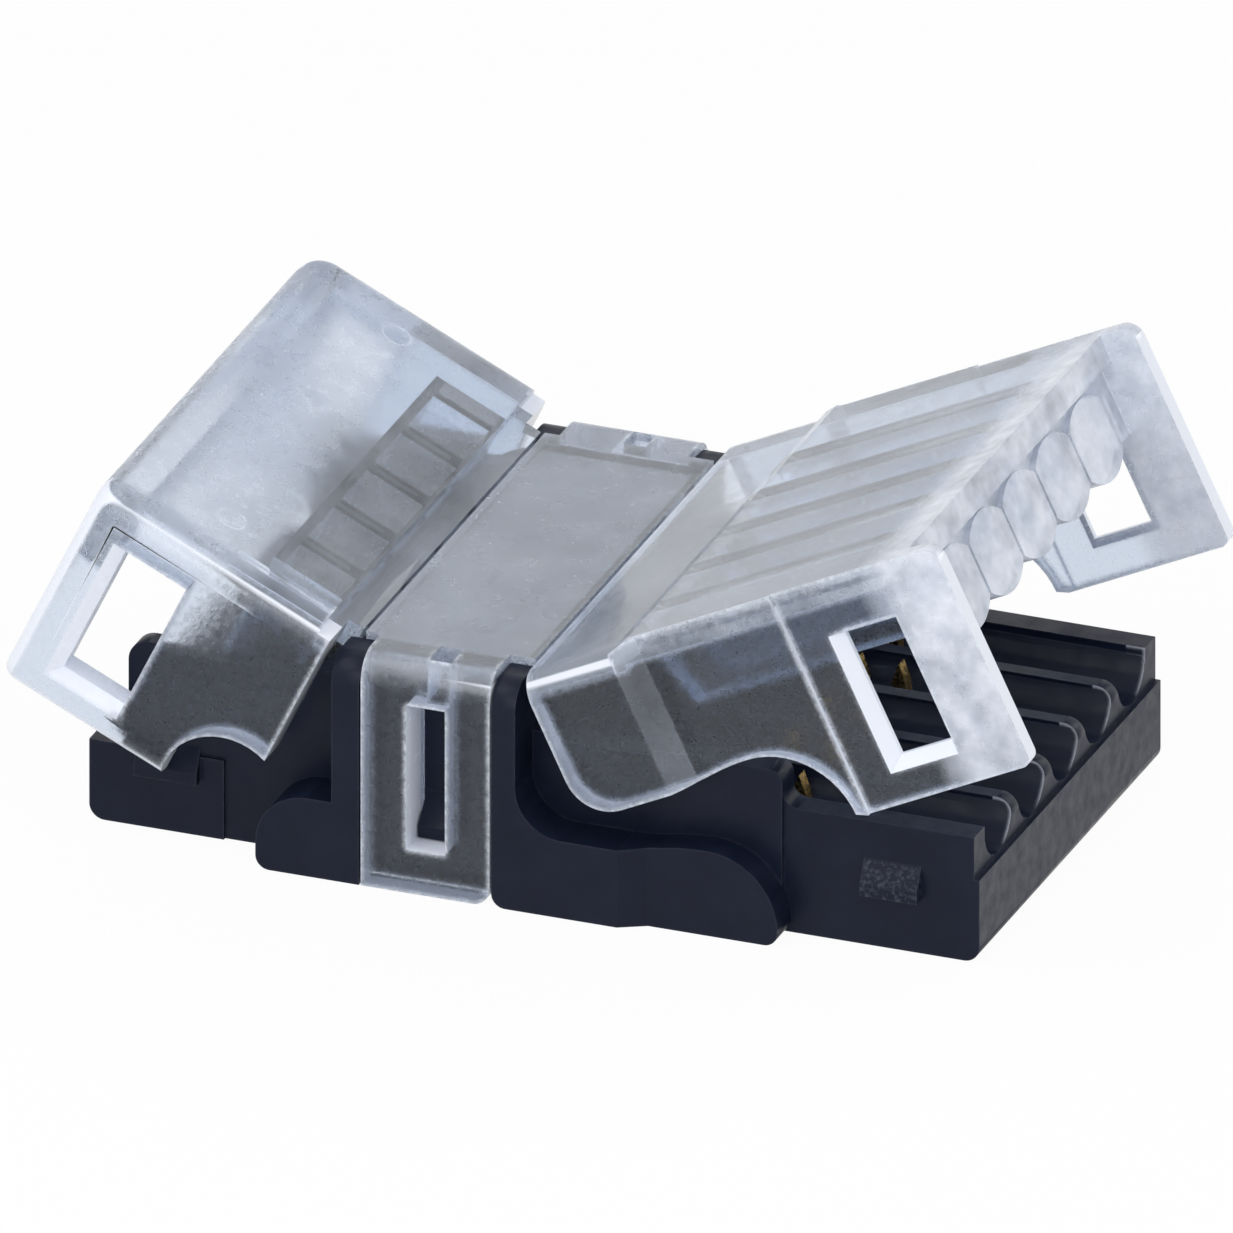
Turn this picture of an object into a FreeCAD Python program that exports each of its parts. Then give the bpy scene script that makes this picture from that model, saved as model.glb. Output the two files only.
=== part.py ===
import FreeCAD, Part
import math
import os
import Sketcher
from types import SimpleNamespace

# Five-channel clamshell connector that joins a 12 mm LED strip to five wires, in millimetres.
# X runs along the strip, from the strip's end (-X) to the wires' end (+X). Y is across, Z is up.
# The origin is the middle of the underside. Both clear lids stand open, as for loading.

driving_sizes = {
    "channels": 5,
    "channel_pitch": 2.5,
    "strip_end": 12.8,
    "wire_end": 12.8,
    "side_wall": 0.775,
    "cheek_depth": 1.45,
    "joggle_step": 0.4,
    "top_height": 6.85,
    "cover_thickness": 0.9,
    "cover_shoulder_radius": 0.8,
    "slide_gap": 0.03,
    # middle block, its posts and the straps between them
    "strip_hinge_inset": 0.37,
    "wire_hinge": 0.1,
    "hinge_gap": 0.05,
    "post_inset": 0.05,
    "post_drop": 0.2,
    "strip_post_edge": 5.27,
    "wire_post_edge": 0.05,
    "strip_post_width": 0.8,
    "strap_right": 0.69,
    "strap_gap": 0.05,
    "strap_window_gap": 0.05,
    "strap_wedge_reach": 0.7,
    "strap_wedge_flat": 0.35,
    "strap_corner_radius": 0.5,
    "strap_window_left": 3.1,
    "strap_window_right": 1.98,
    "strap_window_bottom": 1.3,
    "strap_window_top": 5.6,
    "strap_wedge_height": 1.1,
    "strap_notch_length": 0.65,
    "strap_notch_depth": 0.55,
    "cover_rim": 0.45,
    "cover_air_gap": 0.1,
    # strip end of the housing
    "bed_height": 2.2,
    "lip_height": 2.36,
    "strip_side_wall": 0.6,
    "lip_length": 1.1,
    "strip_wall_height": 5.5,
    "strip_wall_radius": 0.6,
    "block_length": 3.9,
    "block_proud": 0.1,
    "base_corner_radius": 0.45,
    # cheeks, the outer layers that carry on the lids' skirts
    "strip_cheek_flat": 0.7,
    "strip_cheek_height": 2.33,
    "strip_cheek_radius": 1.5,
    "wire_cheek_left": 0.64,
    "wire_cheek_right": 7.5,
    "cheek_corner_radius": 0.4,
    "scoop_height": 2.3,
    "scoop_radius": 1.35,
    "scoop_rise_start": 3.0,
    "scoop_rise": 0.23,
    "wire_cheek_crown_end": 5.4,
    "wire_cheek_side": 0.5,
    "joggle_start": 3.0,
    "joggle_end": 3.75,
    # wire end of the housing
    "groove_width": 2.05,
    "groove_bottom": 2.5,
    "groove_start": 1.6,
    "ridge_height": 3.62,
    "ridge_end_radius": 0.45,
    "wire_wall_height": 3.72,
    "wire_shoulder_end": 7.28,
    "wire_shoulder_rise": 1.1,
    "wire_shoulder_radius": 0.4,
    "wire_shoulder_proud": 0.12,
    "flange_height": 2.45,
    "flange_depth": 0.15,
    # latch teeth on the side walls, each as long as the lid's window less this gap at both ends
    "latch_gap": 0.08,
    "tooth_bottom": 1.6,
    "tooth_height": 1.0,
    "tooth_reach": 0.36,
    "tooth_flat": 0.35,
    # contacts
    "contact_thickness": 0.4,
    "contact_bottom": 0.6,
    "contact_bar_height": 0.9,
    "strip_tooth_tip": 3.0,
    "wire_tooth_tip": 3.9,
    "strip_pin_first": 6.4,
    "wire_pin_first": 5.9,
    "pin_spacing": 1.2,
    "pin_width": 0.8,
    "pin_neck_width": 0.4,
    "pin_shoulder": 0.55,
    "contact_end": 0.5,
    "contact_gap": 0.02,
    "contact_slot_gap": 0.1,
    # lids
    "open_angle": 25.6,
    "plate_thickness": 0.8,
    "skirt_clearance": 0.15,
    "lid_window_bottom": 1.55,
    "window_chamfer": 0.35,
    "hinge_strip_width": 0.9,
    "strip_lid_length": 8.1,
    "strip_lid_rise": 0.45,
    "strip_lid_radius": 0.8,
    "strip_lid_corner_margin": 0.11,
    "strip_front_wall": 1.2,
    "strip_mouth_drop": 2.25,
    "arch_clearance": 0.35,
    "arch_dip": 0.08,
    "strip_skirt_bottom": 0.15,
    "skirt_corner_radius": 0.3,
    "strip_window_starts_at": 0.57,
    "strip_window_end_gap": 1.4985,
    "strip_window_drop": 0.95,
    "press_block_start": 1.0,
    "press_block_end": 3.2,
    "press_block_bottom": 2.95,
    "press_block_gap": 0.1,
    "tongue_gap": 0.1,
    "press_wall": 0.2,
    "press_slot_width": 0.18,
    "press_slot_setback": 0.3,
    "press_pocket_depth": 2.4,
    "wire_lid_length": 12.2,
    "wire_lid_rise": 0.15,
    "wire_lid_slope": 0.5,
    "wire_panel_overhang": 1.0,
    "wire_panel_gap": 0.35,
    "wire_panel_bottom": 0.3,
    "wire_panel_step": 0.15,
    "wire_lid_radius": 0.5,
    "wire_arch_clearance": 0.25,
    "wire_window_starts_at": 0.275,
    "wire_window_ends_at": 0.625,
    "wire_window_drop": 1.45,
    "rib_width": 0.9,
    "rib_start": 2.7,
    "rib_end_gap": 1.5,
    "rib_slope": 0.7,
    "rib_bottom": 4.1,
    "lobe_wall": 0.7,
    "lobe_wall_setback": 0.4,
    "lobe_proud": 0.2,
    "lobe_gap": 0.12,
    "lobe_bottom": 3.65,
    "lobe_sag": 0.45,
    "lobe_crown_drop": 0.15,
}


class Size:
    """A length or angle that knows its value and the sheet formula that gives it."""

    def __init__(self, value, formula):
        self.value = value
        self.formula = formula

    def __add__(self, other):
        other = as_size(other)
        return Size(self.value + other.value, f"({self.formula} + {other.formula})")

    def __sub__(self, other):
        other = as_size(other)
        return Size(self.value - other.value, f"({self.formula} - {other.formula})")

    def __mul__(self, factor):
        factor = as_size(factor)
        return Size(self.value * factor.value, f"({self.formula} * {factor.formula})")

    def __truediv__(self, divisor):
        divisor = as_size(divisor)
        return Size(self.value / divisor.value, f"({self.formula} / {divisor.formula})")

    def __neg__(self):
        return Size(-self.value, f"(-1 * {self.formula})")


def as_size(number):
    if isinstance(number, Size):
        return number
    return Size(float(number), repr(float(number)))


doc = FreeCAD.newDocument("led_strip_connector")
sheet = doc.addObject("Spreadsheet::Sheet", "Sizes")
for row, (name, number) in enumerate(driving_sizes.items(), start=1):
    sheet.set(f"A{row}", name)
    sheet.set(f"B{row}", str(number))
    sheet.setAlias(f"B{row}", name)
doc.recompute()

size = SimpleNamespace(**{name: Size(number, f"Sizes.{name}") for name, number in driving_sizes.items()})
zero = as_size(0)
overshoot = as_size(1)  # how far a cutting outline runs past the material
root = as_size(0.1)  # how deep an added form is rooted in what carries it

# Half widths, from the grooves outwards: wall, bed, posts, cheeks and the lids' skirts.
outer_groove = size.channel_pitch * ((size.channels - 1) / 2) + size.groove_width / 2
wall_half_width = outer_groove + size.side_wall
bed_half_width = wall_half_width - size.strip_side_wall
post_half_span = wall_half_width - size.post_inset
outer_half_width = wall_half_width + size.cheek_depth
joggle_half_width = outer_half_width - size.joggle_step
wire_panel_half_width = joggle_half_width - size.wire_panel_step
skirt_inner = wall_half_width + size.tooth_reach + size.slide_gap

# Lengths along X, and the latch windows, which are placed as shares of what they are cut in.
strip_hinge = size.strip_post_edge - size.strip_hinge_inset
strap_left = size.strip_post_edge - size.strip_post_width
strip_cheek_left = size.strip_post_edge + size.strip_cheek_flat + size.strip_cheek_radius
strip_window_right = size.strip_lid_length * size.strip_window_starts_at
strip_window_left = size.strip_lid_length - size.strip_window_end_gap
channel_offsets = [
    size.channel_pitch * (channel - (driving_sizes["channels"] - 1) / 2)
    for channel in range(driving_sizes["channels"])
]


def new_body(name):
    body = doc.addObject("PartDesign::Body", name)
    body.Label = name
    return body


def new_sketch(body, role, name, offset=None):
    """A sketch on one of the body's own origin planes, moved along the plane's normal by offset."""
    plane = [feature for feature in body.Origin.OriginFeatures if feature.Role == role][0]
    sketch = body.newObject("Sketcher::SketchObject", name)
    sketch.AttachmentSupport = [(plane, "")]
    sketch.MapMode = "FlatFace"
    if offset is not None:
        sketch.AttachmentOffset = FreeCAD.Placement(FreeCAD.Vector(0, 0, offset.value), FreeCAD.Rotation())
        sketch.setExpression("AttachmentOffset.Base.z", offset.formula)
    return sketch


def rounded(outline):
    """Turn (x, y, radius) corners between square sides into two points joined by a quarter arc."""
    points = []
    count = len(outline)
    for index, corner in enumerate(outline):
        if len(corner) == 2 or isinstance(corner[2], str):
            points.append(corner)
            continue
        x, y, radius = corner
        before = outline[index - 1]
        after = outline[(index + 1) % count]
        start = step_back(x, y, radius, before)
        end = step_back(x, y, radius, after)
        turn = (x.value - before[0].value) * (after[1].value - y.value)
        turn -= (y.value - before[1].value) * (after[0].value - x.value)
        points.append((start[0], start[1], "arc", radius, 1 if turn > 0 else -1))
        points.append(end)
    return points


def step_back(x, y, radius, neighbour):
    """The point that lies radius away from the corner x, y towards a neighbour level or plumb with it."""
    along_x = neighbour[0].value - x.value
    along_y = neighbour[1].value - y.value
    if abs(along_x) > abs(along_y):
        return (x + radius, y) if along_x > 0 else (x - radius, y)
    return (x, y + radius) if along_y > 0 else (x, y - radius)


def arc_between(start, end, radius, turn):
    """The arc from start to end, under half a turn; turn 1 is anticlockwise, -1 clockwise."""
    chord = end - start
    half = chord.Length / 2
    rise = math.sqrt(max(radius * radius - half * half, 0))
    side = FreeCAD.Vector(-chord.y, chord.x, 0).normalize() * turn
    middle = (start + end) / 2 + side * (rise - radius)
    return Part.Arc(start, middle, end)


def draw_outline(sketch, outline):
    """Draw one closed outline. Each point is tied to the sheet, and each arc to its radius."""
    points = rounded(outline)
    vectors = [FreeCAD.Vector(point[0].value, point[1].value, 0) for point in points]
    first = sketch.GeometryCount
    for index, point in enumerate(points):
        start = vectors[index]
        end = vectors[(index + 1) % len(points)]
        if len(point) > 2:
            sketch.addGeometry(arc_between(start, end, point[3].value, point[4]), False)
        else:
            sketch.addGeometry(Part.LineSegment(start, end), False)
    for index, point in enumerate(points):
        geometry = first + index
        following = first + (index + 1) % len(points)
        start_end = 1 if len(point) == 2 or point[4] > 0 else 2
        next_point = points[(index + 1) % len(points)]
        next_start = 1 if len(next_point) == 2 or next_point[4] > 0 else 2
        joint = Sketcher.Constraint("Coincident", geometry, 3 - start_end, following, next_start)
        sketch.addConstraint(joint)
        tie(sketch, Sketcher.Constraint("DistanceX", -1, 1, geometry, start_end, point[0].value), point[0])
        tie(sketch, Sketcher.Constraint("DistanceY", -1, 1, geometry, start_end, point[1].value), point[1])
        if len(point) > 2:
            tie(sketch, Sketcher.Constraint("Radius", geometry, point[3].value), point[3])


def tie(sketch, constraint, driven):
    index = sketch.addConstraint(constraint)
    sketch.setExpression(f"Constraints[{index}]", driven.formula)


def box_outline(left, bottom, right, top):
    return [(left, bottom), (right, bottom), (right, top), (left, top)]


def pad(body, sketch, name, length, both_ways=False):
    feature = body.newObject("PartDesign::Pad", name)
    feature.Profile = sketch
    feature.SideType = "Symmetric" if both_ways else "One side"
    feature.Length = length.value
    feature.setExpression("Length", length.formula)
    return feature


def pocket(body, sketch, name, depth, both_ways=False, upwards=False):
    """Cut the sketch away, and stop if nothing is cut."""
    doc.recompute()
    volume_before = body.Shape.Volume
    feature = body.newObject("PartDesign::Pocket", name)
    feature.Profile = sketch
    feature.SideType = "Symmetric" if both_ways else "One side"
    feature.Length = depth.value
    feature.setExpression("Length", depth.formula)
    feature.Reversed = upwards
    doc.recompute()
    if not body.Shape.Volume < volume_before - 1e-6:
        raise RuntimeError(f"{body.Label}.{name} cuts nothing")
    return feature


def fillet(body, name, radius, chosen):
    """Round the edges of the body's last solid that the test picks."""
    doc.recompute()
    base = body.Tip
    names = [f"Edge{number}" for number, edge in enumerate(base.Shape.Edges, start=1) if chosen(edge)]
    feature = body.newObject("PartDesign::Fillet", name)
    feature.Base = (base, names)
    feature.Radius = radius.value
    feature.setExpression("Radius", radius.formula)
    doc.recompute()
    return feature


def runs_along(edge, axis):
    """Whether a straight edge lies along the axis named x, y or z."""
    if edge.Curve.TypeId != "Part::GeomLine":
        return False
    return abs(getattr(edge.Curve.Direction, axis)) > 0.999


def near(first, second):
    return abs(first - second) < 0.01


def s_curve(start_x, start_y, end_x, end_y, turn):
    """Two equal arcs that leave the first level and reach the second one level; first arc turns by turn."""
    run = end_x - start_x
    rise = end_y - start_y
    radius = (run * run + rise * rise) / (rise * 4)
    middle = ((start_x + end_x) / 2, (start_y + end_y) / 2)
    if radius.value < 0:
        radius = -radius
    return [(start_x, start_y, "arc", radius, turn), (middle[0], middle[1], "arc", radius, -turn)]


def cheek_arch():
    """Centre and radius of the round end of the wires' side cheek, level at its crown."""
    run = size.wire_cheek_right - size.wire_cheek_crown_end
    crown = size.scoop_height + size.scoop_rise
    drop = crown - size.wire_cheek_side
    radius = (run * run + drop * drop) / (drop * 2)
    return size.wire_cheek_crown_end, crown - radius, radius


def wire_panel_ends():
    """Where the wires' side panel starts and ends, and where its window does, all from the hinge line."""
    crown_x, _, cheek_radius = cheek_arch()
    arch_end = crown_x - size.wire_hinge + cheek_radius + size.wire_arch_clearance
    start = arch_end + size.wire_panel_gap
    end = size.wire_lid_length + size.wire_panel_overhang
    window_left = start + (end - start) * size.wire_window_starts_at
    window_right = start + (end - start) * size.wire_window_ends_at
    return start, end, window_left, window_right


def wire_cheek_outline():
    """The cheek is scooped to the outline of the closed lid's skirt. Its left end is a full-height post."""
    post_top = size.top_height - size.post_drop
    crown = size.scoop_height + size.scoop_rise
    crown_x, _, radius = cheek_arch()
    outline = [
        (-size.wire_cheek_left, zero, size.cheek_corner_radius),
        (size.wire_cheek_right, zero, size.cheek_corner_radius),
        (size.wire_cheek_right, size.wire_cheek_side, "arc", radius, 1),
    ]
    outline += s_curve(crown_x, crown, size.scoop_rise_start, size.scoop_height, 1)
    outline += [
        (size.scoop_rise_start, size.scoop_height),
        (size.wire_post_edge + size.scoop_radius, size.scoop_height, "arc", size.scoop_radius, -1),
        (size.wire_post_edge, size.scoop_height + size.scoop_radius),
        (size.wire_post_edge, post_top),
        (-size.wire_cheek_left, post_top),
    ]
    return outline


def strip_cheek_outline():
    """The strip's side cheek: a low lobe with a round shoulder, and a full-height post beside the strap."""
    post_top = size.top_height - size.post_drop
    left = -strip_cheek_left
    return [
        (left, zero, size.cheek_corner_radius),
        (-strap_left, zero),
        (-strap_left, post_top),
        (-size.strip_post_edge, post_top),
        (-size.strip_post_edge, size.strip_cheek_height),
        (left + size.strip_cheek_radius, size.strip_cheek_height, "arc", size.strip_cheek_radius, 1),
        (left, size.strip_cheek_height - size.strip_cheek_radius),
    ]


def joggle_outlines():
    """Plan view of what is trimmed off the wires' half, so that its sides step in along a slant."""
    beyond = outer_half_width + overshoot
    end = size.wire_end + size.flange_depth + overshoot
    near_side = [
        (size.joggle_start, -beyond),
        (end, -beyond),
        (end, -joggle_half_width),
        (size.joggle_end, -joggle_half_width),
        (size.joggle_start, -outer_half_width),
    ]
    far_side = [(x, -y) for x, y in near_side]
    return near_side, far_side


def tooth_outlines(half_width, reach, bottom, height, flat):
    """Wedges on both side walls, seen along X: flat below, to hold a window's sill, and sloped above."""
    rooted = half_width - root
    tip = half_width + reach
    far_side = [
        (rooted, bottom),
        (tip, bottom),
        (tip, bottom + flat),
        (half_width, bottom + height),
        (rooted, bottom + height),
    ]
    near_side = [(-y, z) for y, z in far_side]
    return near_side, far_side


def add_teeth(body, name, start, length, half_width, reach, bottom, height, flat):
    sketch = new_sketch(body, "YZ_Plane", f"{name}_outline", start)
    for outline in tooth_outlines(half_width, reach, bottom, height, flat):
        draw_outline(sketch, outline)
    pad(body, sketch, name, length)


def contact_ends():
    """The contact's left and right ends, and the stretches of X that hold its strip and wire pins."""
    half_pin = size.pin_width / 2
    strip_pins = (-(size.strip_pin_first + size.pin_spacing + half_pin), -(size.strip_pin_first - half_pin))
    wire_pins = (size.wire_pin_first - half_pin, size.wire_pin_first + size.pin_spacing + half_pin)
    return strip_pins[0] - size.contact_end, wire_pins[1] + size.contact_end, strip_pins, wire_pins


def make_base_housing():
    """Black moulding: strip bed with side walls, block in the middle, five wire grooves and the cheeks."""
    body = new_body("base_housing")
    left = -size.strip_end
    wall_left = left + size.lip_length
    block_top = size.top_height - size.cover_thickness
    shoulder_height = size.wire_wall_height + size.wire_shoulder_rise
    core = new_sketch(body, "XZ_Plane", "core_outline")
    draw_outline(core, [
        (left, zero, size.base_corner_radius),
        (size.wire_end + size.flange_depth, zero, size.base_corner_radius),
        (size.wire_end + size.flange_depth, size.flange_height),
        (size.wire_end, size.flange_height),
        (size.wire_end, size.wire_wall_height),
        (size.wire_shoulder_end, size.wire_wall_height, size.wire_shoulder_radius),
        (size.wire_shoulder_end, shoulder_height, size.wire_shoulder_radius),
        (size.wire_post_edge, shoulder_height),
        (size.wire_post_edge, block_top),
        (-size.strip_post_edge, block_top),
        (-size.strip_post_edge, size.strip_wall_height),
        (wall_left, size.strip_wall_height, size.strip_wall_radius),
        (wall_left, size.lip_height),
        (left, size.lip_height),
    ])
    pad(body, core, "core", wall_half_width * 2, both_ways=True)

    block = new_sketch(body, "XZ_Plane", "block_outline")
    draw_outline(block, [
        (left, zero, size.base_corner_radius),
        (left + size.block_length, zero),
        (left + size.block_length, size.lip_height),
        (left, size.lip_height),
    ])
    pad(body, block, "proud_block", (wall_half_width + size.block_proud) * 2, both_ways=True)

    shoulder = new_sketch(body, "XZ_Plane", "wire_shoulder_outline")
    draw_outline(shoulder, [
        (size.wire_post_edge, zero),
        (size.wire_shoulder_end, zero),
        (size.wire_shoulder_end, shoulder_height, size.wire_shoulder_radius),
        (size.wire_post_edge, shoulder_height),
    ])
    pad(body, shoulder, "wire_shoulders", (wall_half_width + size.wire_shoulder_proud) * 2, both_ways=True)

    wire_cheek = new_sketch(body, "XZ_Plane", "wire_cheek_outline")
    draw_outline(wire_cheek, wire_cheek_outline())
    pad(body, wire_cheek, "wire_cheeks", outer_half_width * 2, both_ways=True)

    strip_cheek = new_sketch(body, "XZ_Plane", "strip_cheek_outline")
    draw_outline(strip_cheek, strip_cheek_outline())
    pad(body, strip_cheek, "strip_cheeks", outer_half_width * 2, both_ways=True)

    joggle = new_sketch(body, "XY_Plane", "joggle_outline")
    for outline in joggle_outlines():
        draw_outline(joggle, outline)
    pocket(body, joggle, "joggle", size.top_height, upwards=True)

    post_gap = new_sketch(body, "XZ_Plane", "post_gap_outline")
    draw_outline(post_gap, box_outline(-size.strip_post_edge - root, block_top,
                                       size.wire_post_edge + root, size.top_height + overshoot))
    pocket(body, post_gap, "post_gap", post_half_span * 2, both_ways=True)

    bed = new_sketch(body, "XZ_Plane", "bed_outline")
    draw_outline(bed, box_outline(left - overshoot, size.bed_height,
                                  -size.strip_post_edge, size.top_height))
    pocket(body, bed, "strip_bed", bed_half_width * 2, both_ways=True)

    trough = new_sketch(body, "XZ_Plane", "trough_outline")
    draw_outline(trough, [
        (size.wire_post_edge, size.ridge_height),
        (size.wire_end - size.ridge_end_radius, size.ridge_height, "arc", size.ridge_end_radius, -1),
        (size.wire_end, size.ridge_height - size.ridge_end_radius),
        (size.wire_end + overshoot, size.ridge_height - size.ridge_end_radius),
        (size.wire_end + overshoot, size.top_height),
        (size.wire_post_edge, size.top_height),
    ])
    pocket(body, trough, "wire_trough", outer_groove * 2, both_ways=True)

    grooves = new_sketch(body, "YZ_Plane", "groove_outlines", size.wire_end + overshoot)
    half_groove = size.groove_width / 2
    for offset in channel_offsets:
        draw_outline(grooves, [
            (offset - half_groove, size.ridge_height + overshoot),
            (offset - half_groove, size.groove_bottom + half_groove, "arc", half_groove, 1),
            (offset, size.groove_bottom, "arc", half_groove, 1),
            (offset + half_groove, size.groove_bottom + half_groove),
            (offset + half_groove, size.ridge_height + overshoot),
        ])
    pocket(body, grooves, "wire_grooves", size.wire_end + overshoot - size.groove_start)

    recess = new_sketch(body, "XY_Plane", "cover_recess_outline", block_top - size.cover_air_gap)
    recess_half = post_half_span - size.cover_rim
    draw_outline(recess, box_outline(-size.strip_post_edge + size.cover_rim, -recess_half,
                                     size.wire_post_edge - size.cover_rim, recess_half))
    pocket(body, recess, "cover_recess", size.cover_air_gap + overshoot, upwards=True)

    left_end, right_end, strip_pins, wire_pins = contact_ends()
    half_slot = size.contact_thickness / 2 + size.contact_gap
    bar_top = size.contact_bottom + size.contact_bar_height
    slots = new_sketch(body, "XY_Plane", "contact_slot_outlines")
    slits = new_sketch(body, "XY_Plane", "pin_slit_outlines")
    for offset in channel_offsets:
        draw_outline(slots, box_outline(left_end - size.contact_gap, offset - half_slot,
                                        right_end + size.contact_gap, offset + half_slot))
        for pins in (strip_pins, wire_pins):
            draw_outline(slits, box_outline(pins[0] - size.contact_slot_gap, offset - half_slot,
                                            pins[1] + size.contact_slot_gap, offset + half_slot))
    pocket(body, slots, "contact_slots", bar_top, upwards=True)
    pocket(body, slits, "pin_slits", size.ridge_height, upwards=True)

    _, _, window_left, window_right = wire_panel_ends()
    add_teeth(body, "wire_teeth", size.wire_hinge + window_left + size.latch_gap,
              window_right - window_left - size.latch_gap * 2, wall_half_width,
              size.tooth_reach, size.tooth_bottom, size.tooth_height, size.tooth_flat)
    add_teeth(body, "strip_teeth", -strip_hinge - strip_window_left + size.latch_gap,
              strip_window_left - strip_window_right - size.latch_gap * 2, wall_half_width,
              size.tooth_reach, size.tooth_bottom, size.tooth_height, size.tooth_flat)
    wedge_start = -size.strap_window_left + size.strap_window_gap
    wedge_length = size.strap_window_left - size.strap_window_right - size.strap_window_gap * 2
    add_teeth(body, "strap_wedges", wedge_start, wedge_length, wall_half_width, size.strap_wedge_reach,
              size.strap_window_bottom + size.strap_window_gap, size.strap_wedge_height,
              size.strap_wedge_flat)

    post_top = driving_sizes["top_height"] - driving_sizes["post_drop"]
    fillet(body, "post_shoulders", size.cover_shoulder_radius, lambda edge: runs_along(edge, "x")
           and near(abs(edge.CenterOfMass.y), outer_half_width.value)
           and near(edge.CenterOfMass.z, post_top))
    return body


def make_centre_cover():
    """Clear bridge over the middle block. Its two straps clip over the wedges on the housing's sides."""
    body = new_body("centre_cover")
    block_top = size.top_height - size.cover_thickness
    plate = new_sketch(body, "XZ_Plane", "plate_outline")
    draw_outline(plate, box_outline(-strip_hinge + size.hinge_gap, block_top,
                                    size.wire_hinge - size.hinge_gap, size.top_height))
    pad(body, plate, "plate", (post_half_span - size.strap_gap) * 2, both_ways=True)

    inner = wall_half_width + size.strap_gap
    outer = outer_half_width
    straps = new_sketch(body, "YZ_Plane", "strap_outline", -strap_left + size.strap_gap)
    draw_outline(straps, [
        (-outer, zero),
        (-inner, zero),
        (-inner, block_top),
        (inner, block_top),
        (inner, zero),
        (outer, zero),
        (outer, size.top_height, size.cover_shoulder_radius),
        (-outer, size.top_height, size.cover_shoulder_radius),
    ])
    pad(body, straps, "straps", strap_left - size.strap_gap - size.strap_right)

    windows = new_sketch(body, "XZ_Plane", "window_outline")
    draw_outline(windows, box_outline(-size.strap_window_left, size.strap_window_bottom,
                                      -size.strap_window_right, size.strap_window_top))
    pocket(body, windows, "strap_windows", (outer_half_width + overshoot) * 2, both_ways=True)

    notches = new_sketch(body, "XY_Plane", "strap_notch_outlines", size.strap_window_top - root)
    notch_left = -size.strap_window_right - size.strap_notch_length
    notch_outer = outer_half_width - size.strap_notch_depth
    draw_outline(notches, box_outline(notch_left, -notch_outer, -size.strap_window_right, -inner))
    draw_outline(notches, box_outline(notch_left, inner, -size.strap_window_right, notch_outer))
    pocket(body, notches, "strap_notches", size.top_height, upwards=True)
    fillet(body, "strap_corners", size.strap_corner_radius, lambda edge: runs_along(edge, "y")
           and near(edge.CenterOfMass.z, 0) and near(edge.CenterOfMass.x, -driving_sizes["strap_right"]))
    return body


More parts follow.
